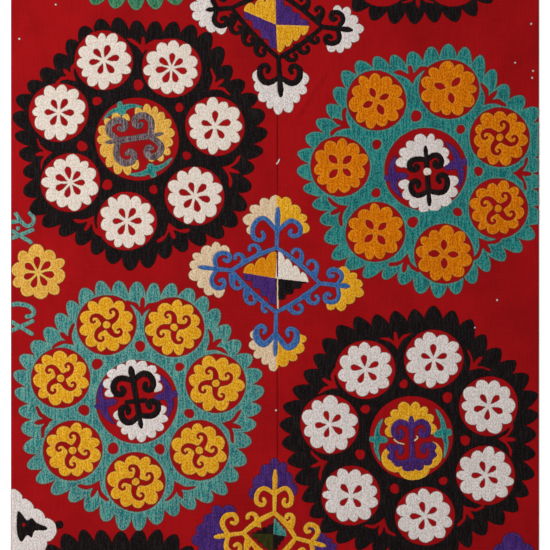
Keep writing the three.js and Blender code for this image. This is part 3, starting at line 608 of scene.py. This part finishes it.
# %% Diamonds on the seam
BULGE = 3.5
QUARTER_STEPS, QUARTER_LOBE = 4, 10


def diamond_layers(figure):
    corners, ink, width, line = (figure[word] for word in ("corners", "ink", "width", "line"))
    layers = []
    for arm in figure["arms"]:
        layers += arm_layers(corners[arm["corner"]], arm, ink, width, arm["inks"], peak=0.09)
    for a, b in zip(corners, corners[1:] + corners[:1]):
        out = heading_of(a, b) - 90
        side = []
        for k in range(7):
            place = (a[0] + (b[0] - a[0]) * k / 6, a[1] + (b[1] - a[1]) * k / 6)
            side.append(polar(place, out, BULGE * math.sin(math.pi * k / 6)))
        layers.append((ink, "scroll", band(side, (line, line * 1.3, line * 1.3, line))))
    widths = (line * 2.9, line * 1.4, line * 1.05, line * 0.95, line * 0.9, line * 1.1)
    for x, y, turn, lead, size, sweep in figure["crests"]:
        layers.append((ink, "scroll", curl_band((x, y), turn, lead, size, sweep * 0.95, widths,
                                                tight=0.24)))
    return layers


def lozenge_layers(figure):
    tips, layers = figure["lozenge"], []
    for i, (ink, lobes) in enumerate(figure["quarters"]):
        a, b = tips[i], tips[(i + 1) % 4]
        upright = 90 if a[1] + b[1] > 2 * figure["heart"][1] else -90
        if lobes:
            edge = lobed(a, b, lobes, QUARTER_LOBE, out=upright)
        else:
            edge = stepped(a, b, QUARTER_STEPS)
        layers.append((ink, "field", edge + [b, figure["heart"]]))
    for ink, top, bottom in figure.get("joins", ()):
        path = [(SEAM_X + hand.uniform(-0.7, 0.2), top + k * (bottom - top) / 8)
                for k in range(9)]
        layers.append((ink, "field", band(path, (1.6, 2.6, 2.2, 2.8, 1.6))))
    return layers


# %% Signs, bloom and patch
def sign_layers(strokes):
    layers = []
    for width, path in strokes:
        if len(path) > 2:
            path = smooth_loop(path + path[-2:0:-1], 3)[:3 * (len(path) - 1) + 1]
        layers.append(("seafoam", "field", band(path, (width, width))))
    return layers


def bloom_layers():
    a, b, c = BLOOM["field"]
    lower, upper = lobed(c, b, BLOOM["lobes"][1], 6), lobed(b, a, BLOOM["lobes"][0], 6)
    return [("milk", "field", lower + upper + [a, (a[0], c[1])]),
            ("black", "scroll", smooth_loop(BLOOM["fish"], 3)),
            bare(disc(BLOOM["eye"], 4.5, sides=16)),
            ("black", "field", disc(BLOOM["nub"], 6.5, sides=20))]


def patch_layers():
    a, b, c = PATCH
    return [("purple", "field", lobed(a, b, 2, 6) + lobed(b, c, 2, 6) + [c])]


print("one wheel is", len(wheel_layers(WHEELS[0], ROSETTES["a"], EYES["a"])), "loops")

# %% [markdown]
# ## Laying the thread
# Laid thread stands on the cloth as a low soft pad: it drops to the cloth along its outline and is
# full in its middle. A thin dark line shows round it: partly the drawn line the maker followed,
# partly painted shadow round the pad. No primitive has such an outline, so each pad is made from
# points with from_pydata, and each point gets its distance from the edge for the material. Over
# bare cloth the foot of the pad spreads a little and is coloured dark, partly as a drawn ink line
# and partly as painted shadow. All loops of a motif are cut into small triangles at once, and each
# triangle goes to the loop painted last over it. So fields of two colours meet along one line and
# never overlap. Outlines that cross the upright threads are finely frayed.

# %% Filling a motif
LATTICE, ROW_PITCH, CLEAR = 3.4, 0.87, 1.3
OUTLINE_STEP, EDGE_WIDTH, FLARE = 1.7, 2.0, 1.3
LAID_LOW = GROUND_TOP + 0.06
PAD = {"field": (0.5, 0.75), "scroll": (0.7, 0.98), "fine": (0.15, 0.3)}
fray = random.Random(11)


def frayed(loop):
    points = []
    for a, b in zip(loop, loop[1:] + loop[:1]):
        count = max(1, round(math.dist(a, b) / OUTLINE_STEP))
        for k in range(count):
            t = k / count
            points.append((a[0] + (b[0] - a[0]) * t + fray.uniform(-0.2, 0.2),
                           a[1] + (b[1] - a[1]) * t + fray.uniform(-0.5, 0.5)))
    area = sum(a[0] * b[1] - b[0] * a[1] for a, b in zip(points, points[1:] + points[:1])) / 2
    return points if area > 0 else points[::-1]


def on_cloth(loop):
    for axis, half in ((0, HALF_WIDTH - 1), (1, HALF_LENGTH - 1)):
        for side in (-1, 1):
            if loop:
                loop = clipped(loop, axis, -side * half, side)
    return loop


def inside(loop, xs, ys):
    """The winding number of a loop about each spot."""
    turns = np.zeros(len(xs), int)
    for (x0, y0), (x1, y1) in zip(loop, loop[1:] + loop[:1]):
        left = (x1 - x0) * (ys - y0) - (xs - x0) * (y1 - y0)
        turns += ((y0 <= ys) & (y1 > ys) & (left > 0)).astype(int)
        turns -= ((y1 <= ys) & (y0 > ys) & (left < 0)).astype(int)
    return turns != 0


def lattice(points):
    """Rows of spots, kept clear of the outlines."""
    outline = kdtree.KDTree(len(points))
    for i, point in enumerate(points):
        outline.insert((point[0], point[1], 0), i)
    outline.balance()
    low, high = np.min(points, axis=0), np.max(points, axis=0)
    spots = []
    for row in range(int((high[1] - low[1]) / LATTICE / ROW_PITCH)):
        for column in range(int((high[0] - low[0]) / LATTICE)):
            x = low[0] + (column + row % 2 / 2) * LATTICE + fray.uniform(-0.4, 0.4)
            y = low[1] + row * LATTICE * ROW_PITCH + fray.uniform(-0.4, 0.4)
            if outline.find((x, y, 0))[2] > CLEAR:
                spots.append((x, y))
    return spots


def around(triangle):
    a, b, c = triangle
    return ((a, b), (b, c), (c, a))


def filled(layers):
    """The points of a motif, its triangles by thread and height, and all their sides."""
    points, edges, loops = [], [], []
    for ink, level, loop in layers:
        loop = on_cloth(loop)
        if len(loop) < 3:
            continue
        loop = frayed(loop)
        first, count = len(points), len(loop)
        edges += [(first + i, first + (i + 1) % count) for i in range(count)]
        points += loop
        loops.append((ink, level, loop))
    points = [Vector(point) for point in points + lattice(points)]
    spots, _, triangles = geometry.delaunay_2d_cdt(points, edges, [], 0, 1e-5)[:3]
    middles = np.array([[sum(spots[v][axis] for v in triangle) / 3 for axis in (0, 1)]
                        for triangle in triangles])
    owner = np.full(len(triangles), -1)
    for i, (ink, level, loop) in enumerate(loops):
        owner[inside(loop, middles[:, 0], middles[:, 1])] = i
    groups = {}
    for triangle, i in zip(triangles, owner):
        if i >= 0 and loops[i][0]:
            groups.setdefault(loops[i][:2], []).append(triangle)
    owned = {edge for part in groups.values() for triangle in part for edge in around(triangle)}
    return spots, groups, owned


# %% A pad of thread from its triangles
inks = {}


def pad(name, spots, triangles, owned, level, ink):
    """A closed mesh that is flat below and full above, with its foot spread over bare cloth."""
    used = sorted({v for triangle in triangles for v in triangle})
    number = {v: i for i, v in enumerate(used)}
    count = len(used)
    sides = {edge: True for triangle in triangles for edge in around(triangle)}
    border = [edge for edge in sides if (edge[1], edge[0]) not in sides]
    outward = {}
    for a, b in border:
        if (b, a) not in owned and level != "fine":
            across = Vector((spots[b].y - spots[a].y, spots[a].x - spots[b].x)).normalized()
            for v in (a, b):
                outward[v] = outward.get(v, Vector((0, 0))) + across
    tree = kdtree.KDTree(len(border))
    for i, (a, b) in enumerate(border):
        tree.insert((spots[a].x, spots[a].y, 0), i)
    tree.balance()
    low, full = PAD[level]
    top, bottom, depths, feet = [], [], [], []
    for v in used:
        x, y = spots[v]
        away = min(1, tree.find((x, y, 0))[2] / EDGE_WIDTH)
        height = low + (full - low) * (1 - (1 - away) ** 2) ** 0.5
        height += 0.07 * away * noise.noise(Vector((x / 5, y / 12, 1.7)))
        lift = rise(x, y)
        top.append((x * MM, y * MM, (LAID_LOW + height + lift) * MM))
        # The spread foot gets a negative inward value, which the material darkens partly as a
        # drawn ink line and partly as painted shadow round the pad.
        foot = outward.get(v, Vector((0, 0))).normalized() * FLARE
        bottom.append(((x + foot.x) * MM, (y + foot.y) * MM, (LAID_LOW + lift) * MM))
        depths.append(away)
        feet.append(-foot.length / FLARE)
    faces = [tuple(number[v] for v in triangle) for triangle in triangles]
    round_faces = 2 * len(triangles)
    faces += [tuple(count + number[v] for v in reversed(triangle)) for triangle in triangles]
    faces += [(number[b], number[a], count + number[a], count + number[b]) for a, b in border]
    mesh = bpy.data.meshes.new(name)
    mesh.from_pydata(top + bottom, [], faces)
    inward = mesh.attributes.new("inward", "FLOAT", "POINT")
    inward.data.foreach_set("value", depths + feet)
    mesh.polygons.foreach_set("use_smooth", [i < round_faces for i in range(len(mesh.polygons))])
    mesh.materials.append(inks[ink])
    piece = bpy.data.objects.new(name, mesh)
    bpy.context.collection.objects.link(piece)
    return piece


def stitch(name, layers, node=None):
    spots, groups, owned = filled(layers)
    made = []
    for (ink, level), triangles in groups.items():
        title = f"{name}_{ink}" if len(groups) > 1 else name
        piece = pad(title, spots, triangles, owned, level, ink)
        if node:
            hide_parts(node)
        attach(piece, "root")
        made.append(piece)
    return made


# %% [markdown]
# ## Threads and cloth as materials
# Seen from a step away, laid thread is a field of fine upright strands, crossed by tiny slanting
# ticks that hold them down. The strands are noise drawn out along the cloth, the ticks are a
# finer noise on a slant, and broad soft patches of painted shade darken the thread here and there.
# All of it reads Object coordinates, so it stays put on the cloth.

# %% Helpers for the materials
def started(name):
    material = bpy.data.materials.new(name)
    material.use_nodes = True
    return material, material.node_tree, material.node_tree.nodes["Principled BSDF"]


def set_inputs(node, values):
    for name, value in values.items():
        node.inputs[name].default_value = value


def grain(tree, scale, turn=0, detail=1):
    """Noise drawn out along the cloth, at so many waves a metre."""
    where = tree.nodes.new("ShaderNodeTexCoord")
    mapping = tree.nodes.new("ShaderNodeMapping")
    set_inputs(mapping, {"Scale": (*scale, 1), "Rotation": (0, 0, math.radians(turn))})
    tree.links.new(where.outputs["Object"], mapping.inputs["Vector"])
    noise_node = tree.nodes.new("ShaderNodeTexNoise")
    noise_node.noise_dimensions = "2D"
    set_inputs(noise_node, {"Scale": 1, "Detail": detail, "Roughness": 0.6})
    tree.links.new(mapping.outputs["Vector"], noise_node.inputs["Vector"])
    return noise_node.outputs["Fac"]


def linear(colour):
    shares = (value / 255 for value in colour)
    return (*(s / 12.92 if s <= 0.04045 else ((s + 0.055) / 1.055) ** 2.4 for s in shares), 1)


def layered(tree, base, steps):
    """Colours laid over a base. Each gains its share as a value runs from low to high."""
    colour = linear(base)
    for value, low, high, start, end, other in steps:
        fit = tree.nodes.new("ShaderNodeMapRange")
        set_inputs(fit, {"From Min": low, "From Max": high, "To Min": start, "To Max": end})
        tree.links.new(value, fit.inputs["Value"])
        mix = tree.nodes.new("ShaderNodeMix")
        mix.data_type = "RGBA"
        tree.links.new(fit.outputs["Result"], mix.inputs[0])
        if isinstance(colour, tuple):
            mix.inputs[6].default_value = colour
        else:
            tree.links.new(colour, mix.inputs[6])
        mix.inputs[7].default_value = linear(other)
        colour = mix.outputs[2]
    return colour


def finished(tree, shader, colour, roughness, shine, grains, operation, strength):
    """Joins a colour to the shader, and a fine relief made of two grains."""
    tree.links.new(colour, shader.inputs["Base Color"])
    set_inputs(shader, {"Roughness": roughness, "Specular IOR Level": shine})
    bump = tree.nodes.new("ShaderNodeBump")
    set_inputs(bump, {"Strength": strength, "Distance": 0.0004})
    both = tree.nodes.new("ShaderNodeMath")
    both.operation = operation
    for value, socket in zip(grains, both.inputs):
        tree.links.new(value, socket)
    tree.links.new(both.outputs[0], bump.inputs["Height"])
    tree.links.new(bump.outputs["Normal"], shader.inputs["Normal"])


# %% Thread materials
# The dark red of the spread foot: partly a drawn ink line, partly painted shadow round each pad.
INK_AND_SHADOW_LINE = (50, 6, 10)


def thread(name, base, light, dark, fleck, rim, streak, tick, edging):
    """Laid thread: streaks up the cloth, short ticks across, flecks, patches of painted shade, a
    rim and a dark foot, partly a drawn ink line and partly painted shadow.
    """
    material, tree, shader = started(name)
    strands, ticks = grain(tree, (340, 36)), grain(tree, (430, 260), turn=14)
    specks = grain(tree, (430, 330), turn=-25)
    # Broad soft patches of painted shade, darkening the thread here and there.
    patches = grain(tree, (26, 14), detail=2)
    edge = tree.nodes.new("ShaderNodeAttribute")
    edge.attribute_name = "inward"
    inward = edge.outputs["Fac"]
    # The last step darkens the spread foot, partly as a drawn ink line and partly as painted
    # shadow round the pad.
    colour = layered(tree, base, (
        (strands, 0.5, 0.64, 0, streak, light), (strands, 0.5, 0.37, 0, streak, dark),
        (patches, 0.45, 0.75, 0, streak * 0.6, dark), (ticks, 0.53, 0.6, 0, tick, dark),
        (specks, 0.58, 0.64, 0, tick, fleck), (inward, 0.15, 0.9, edging, 0, rim),
        (inward, -0.05, -0.4, 0, 0.85, INK_AND_SHADOW_LINE)))
    finished(tree, shader, colour, 0.85, 0.06, (strands, ticks), "SUBTRACT", 0.3)
    return material


# Each thread has its colour, a lighter and a darker one, those of its flecks and its rim, and how
# strongly its streaks, ticks and edge show.
THREADS = {
    "black": ((25, 18, 16), (42, 36, 36), (14, 10, 8), (40, 36, 44), (44, 26, 26), 0.6, 0.6, 0.3),
    "teal": ((22, 138, 132), (70, 162, 150), (0, 82, 90), (110, 150, 142), (130, 160, 138),
             0.65, 0.65, 0.45),
    "seafoam": ((56, 150, 142), (116, 176, 160), (4, 98, 106), (156, 166, 156), (150, 164, 144),
                0.75, 0.7, 0.45),
    "green": ((44, 128, 92), (92, 160, 122), (14, 88, 60), (128, 148, 112), (130, 150, 110),
              0.5, 0.7, 0.5),
    "white": ((244, 233, 220), (250, 242, 232), (204, 196, 178), (226, 184, 172), (246, 222, 204),
              0.3, 0.8, 0.5),
    "milk": ((242, 234, 229), (250, 245, 242), (194, 188, 182), (220, 182, 176), (242, 224, 216),
             0.35, 0.85, 0.5),
    "beige": ((238, 214, 176), (246, 230, 204), (196, 166, 124), (208, 148, 122), (240, 212, 178),
              0.35, 0.75, 0.5),
    "straw": ((240, 190, 82), (248, 208, 118), (200, 140, 36), (200, 120, 60), (244, 198, 104),
              0.4, 0.8, 0.5),
    "yellow": ((246, 188, 38), (252, 204, 80), (204, 134, 8), (202, 104, 24), (246, 186, 84),
               0.4, 0.8, 0.5),
    "amber": ((232, 150, 14), (240, 172, 44), (204, 116, 4), (190, 84, 16), (240, 166, 60),
              0.4, 0.65, 0.4),
    "orange": ((238, 136, 4), (244, 158, 26), (190, 92, 0), (180, 70, 14), (240, 148, 48),
               0.5, 0.8, 0.5),
    "blue": ((46, 106, 172), (80, 132, 192), (18, 62, 122), (108, 116, 150), (110, 128, 174),
             0.45, 0.7, 0.45),
    "purple": ((72, 44, 122), (92, 62, 148), (38, 20, 76), (104, 48, 96), (108, 54, 98),
               0.5, 0.7, 0.3),
    "grey": ((114, 100, 104), (160, 148, 150), (54, 42, 50), (140, 106, 104), (140, 118, 112),
             0.8, 0.8, 0.4),
    "olive": ((54, 54, 18), (72, 72, 28), (28, 30, 10), (60, 38, 16), (60, 48, 20), 0.4, 0.5, 0.3),
    "seam": ((132, 16, 20), (150, 24, 28), (92, 8, 12), (108, 18, 22), (116, 12, 16),
             0.5, 0.6, 0.4),
}
SLOT_OF_INK = {ink: f"{ink}_thread" for ink in THREADS}
SLOT_OF_INK.update(seafoam="teal_thread", white="cream_thread", milk="cream_thread",
                   beige="cream_thread", straw="yellow_thread", amber="orange_thread",
                   olive="green_thread", seam="red_cotton")
for ink, look in THREADS.items():
    inks[ink] = thread(f"{ink}_laid_thread", *look)
print(len(inks), "thread materials")

# %% Red cotton
cotton, tree, shader = started("red_cotton")
upright = grain(tree, (420, 30), detail=3)
across = grain(tree, (26, 380), detail=3)
cloudy = grain(tree, (9, 7), detail=3)
colour = layered(tree, (170, 18, 22), (
    (cloudy, 0.35, 0.7, 0, 1, (152, 15, 19)), (upright, 0.5, 0.72, 0, 0.4, (134, 12, 14)),
    (across, 0.52, 0.74, 0, 0.35, (182, 20, 26))))
finished(tree, shader, colour, 0.9, 0.04, (upright, across), "ADD", 0.35)
print("cotton has", len(tree.nodes), "nodes")

# %% [markdown]
# ## The two loom widths
# Each panel is a grid, laid out at its size, given its thickness, and let down along its outer
# edges for the turned hem. Its flat size is the cut size, with 10 mm more on every side to turn
# under. Then every point is lifted by the same rule as the thread.

# %% Ground panels
CELL, CLOTH_THICKNESS = 4, 1.2
HEM_WIDTH, HEM_DROP = 10.5, 0.6


def ground_panel(name, node, seam_side):
    low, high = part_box(node)
    if seam_side > 0:
        high.x = SEAM_X * MM
    else:
        low.x = SEAM_X * MM
    width, length = (high.x - low.x) / MM, (high.y - low.y) / MM
    bpy.ops.object.select_all(action="DESELECT")
    middle = ((low.x + high.x) / 2, (low.y + high.y) / 2, high.z)
    bpy.ops.mesh.primitive_grid_add(x_subdivisions=round(width / CELL),
                                    y_subdivisions=round(length / CELL), size=1, location=middle)
    panel = bpy.context.object
    panel.name = name
    panel.scale = (high.x - low.x, high.y - low.y, 1)
    bpy.ops.object.transform_apply(location=True, rotation=True, scale=True)
    solid = panel.modifiers.new("thickness", "SOLIDIFY")
    solid.thickness = CLOTH_THICKNESS * MM
    solid.offset = -1
    bpy.ops.object.modifier_apply(modifier=solid.name)
    bpy.ops.object.mode_set(mode="EDIT")
    bpy.ops.mesh.select_all(action="DESELECT")
    bpy.ops.object.mode_set(mode="OBJECT")
    hem = HEM_WIDTH * MM
    for face in panel.data.polygons:
        at = face.center
        outer = min(at.x - low.x, high.x - at.x, at.y - low.y, high.y - at.y) < hem
        face.select = face.normal.z < -0.9 and outer
    bpy.ops.object.mode_set(mode="EDIT")
    drop = (0, 0, -HEM_DROP * MM)
    bpy.ops.mesh.extrude_region_move(TRANSFORM_OT_translate={"value": drop})
    bpy.ops.object.mode_set(mode="OBJECT")
    for vertex in panel.data.vertices:
        x, y = vertex.co.x / MM, vertex.co.y / MM
        vertex.co.z += rise(x, y) * MM
    bpy.ops.object.shade_smooth()
    panel.data.materials.append(cotton)
    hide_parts(node)
    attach(panel, "root")
    print(name, round(width), "x", round(length), "mm,", len(panel.data.polygons), "faces")
    return panel


bpy.ops.object.select_all(action="DESELECT")
bpy.ops.mesh.primitive_plane_add(size=6, location=(0, 0, -0.0005))
floor = bpy.context.object
floor.name = "floor"
pale, _, shader = started("pale_floor")
set_inputs(shader, {"Base Color": (0.95, 0.95, 0.95, 1), "Roughness": 0.9,
                    "Emission Color": (1, 1, 1, 1), "Emission Strength": 0.45})
floor.data.materials.append(pale)
panels = [ground_panel("cotton_left", "ground_left", 1),
          ground_panel("cotton_right", "ground_right", -1)]

# %% [markdown]
# ## Stitching every motif
# Now each motif is filled with its thread. It takes the place of its CAD solid.

# %% Wheels and rosettes
pieces = []
for wheel in WHEELS:
    key = wheel["name"]
    places = ROSETTES.get(key, HALF_WHEEL if key == "f" else [])
    pieces += stitch(f"wheel_{key}", wheel_layers(wheel, places, EYES.get(key)), f"web_{key}")
    for i, kind in enumerate(ROSETTES.get(key, [])):
        centre = polar((wheel["x"], wheel["y"]), kind["turn"], kind["reach"])
        layers = rosette_layers(ROSETTE_INK[key], centre, kind)
        pieces += stitch(f"round_{key}_{i + 1}", layers, f"rosette_{key}_{i + 1}")
centre = (EDGE_ROSETTE["x"], EDGE_ROSETTE["y"])
pieces += stitch("round_edge", rosette_layers("straw", centre, EDGE_ROSETTE), "rosette_edge")
print(len(pieces), "fields of thread on wheels and rosettes")

# %% Flowers, diamonds and small motifs
for flower in FLOWERS:
    key = flower["name"]
    pieces += stitch(f"scroll_{key}", flower_layers(flower), f"flower_{key}")
    for i, leaf in enumerate(flower["leaves"]):
        layers = leaf_layers(leaf, LEAF_INK[key])
        pieces += stitch(f"sprig_{key}_{i + 1}", layers, f"leaf_{key}_{i + 1}")
for figure in DIAMONDS:
    key = figure["name"]
    pieces += stitch(f"hooked_{key}", diamond_layers(figure), f"diamond_{key}")
    pieces += stitch(f"quarters_{key}", lozenge_layers(figure), f"lozenge_{key}")
for key in ("upper", "lower"):
    pieces += stitch(f"strokes_{key}", sign_layers(SIGNS[key]), f"sign_{key}")
pieces += stitch("half_blossom", bloom_layers(), "bloom")
pieces += stitch("corner_patch", patch_layers(), "patch")

# %% Seam thread
SEAM_RUNS = [(-499, -480), (-328, -176), (152, 284)]
seam = []
for start, end in SEAM_RUNS:
    path = [(SEAM_X + hand.uniform(-0.3, 0.3), start + i * (end - start) / 24) for i in range(25)]
    seam.append(("seam", "fine", band(path, (0.8, 1.2, 0.8, 1.1, 0.8))))
pieces += stitch("seam_thread", seam)

# %% Loose bits on the cloth
PICTURE_MIDDLE, MM_PER_PIXEL = 275, 1.8


def from_picture(across, down):
    return ((across - PICTURE_MIDDLE) * MM_PER_PIXEL, (PICTURE_MIDDLE - down) * MM_PER_PIXEL)


def strand(points, width):
    """A thread end that lies on the work, given in pixels of the picture."""
    path = smooth_loop([from_picture(*point) for point in points], 4, closed=False)
    return band(path, (width, width, width * 0.8))


LINT = [(56, 5), (19.5, 39), (531, 24), (515, 63), (533, 71), (532, 78), (497, 300), (276, 410)]
specks = [("milk", "field", disc(from_picture(*spot), 1.3, sides=8)) for spot in LINT]
for fibre in ([(470, 327), (472.5, 328), (475, 327.4)],
              [(275.2, 460.5), (274.7, 463), (275, 465.5)],
              [(276.6, 164), (278.2, 162), (279.4, 159.4)]):
    specks.append(("milk", "field", strand(fibre, 1.4)))
pieces += stitch("lint", specks)
tails = [[(394, 439), (398, 442.5), (404, 444)],
         [(411, 441), (415, 440), (417.5, 437.5), (416.5, 436)]]
pieces += stitch("thread_ends", [("beige", "field", strand(tail, 1.5)) for tail in tails])
faces = sum(len(piece.data.polygons) for piece in pieces)
print(len(pieces), "fields of thread in all,", faces, "faces")

# %% [markdown]
# ## Light
# The light is plain and soft: one wide lamp to the left of the cloth, a weaker one on the right,
# and an even pale sky.

# %% Lamps and sky
def lamp(name, place, size, power):
    bpy.ops.object.select_all(action="DESELECT")
    bpy.ops.object.light_add(type="AREA", location=place)
    light = bpy.context.object
    light.name = name
    light.data.shape = "SQUARE"
    light.data.size = size
    light.data.energy = power
    light.rotation_euler = Vector(place).to_track_quat("Z", "Y").to_euler()
    return light


lamp("lamp_left", (-1.6, 0.5, 2.0), 1.2, 44)
lamp("lamp_right", (1.5, 0.2, 2.4), 1.6, 8)
world = bpy.data.worlds.new("pale_sky")
bpy.context.scene.world = world
world.use_nodes = True
set_inputs(world.node_tree.nodes["Background"], {"Color": (1, 1, 1, 1), "Strength": 0.26})
bpy.context.scene.view_settings.view_transform = "Standard"
print("lamps set")
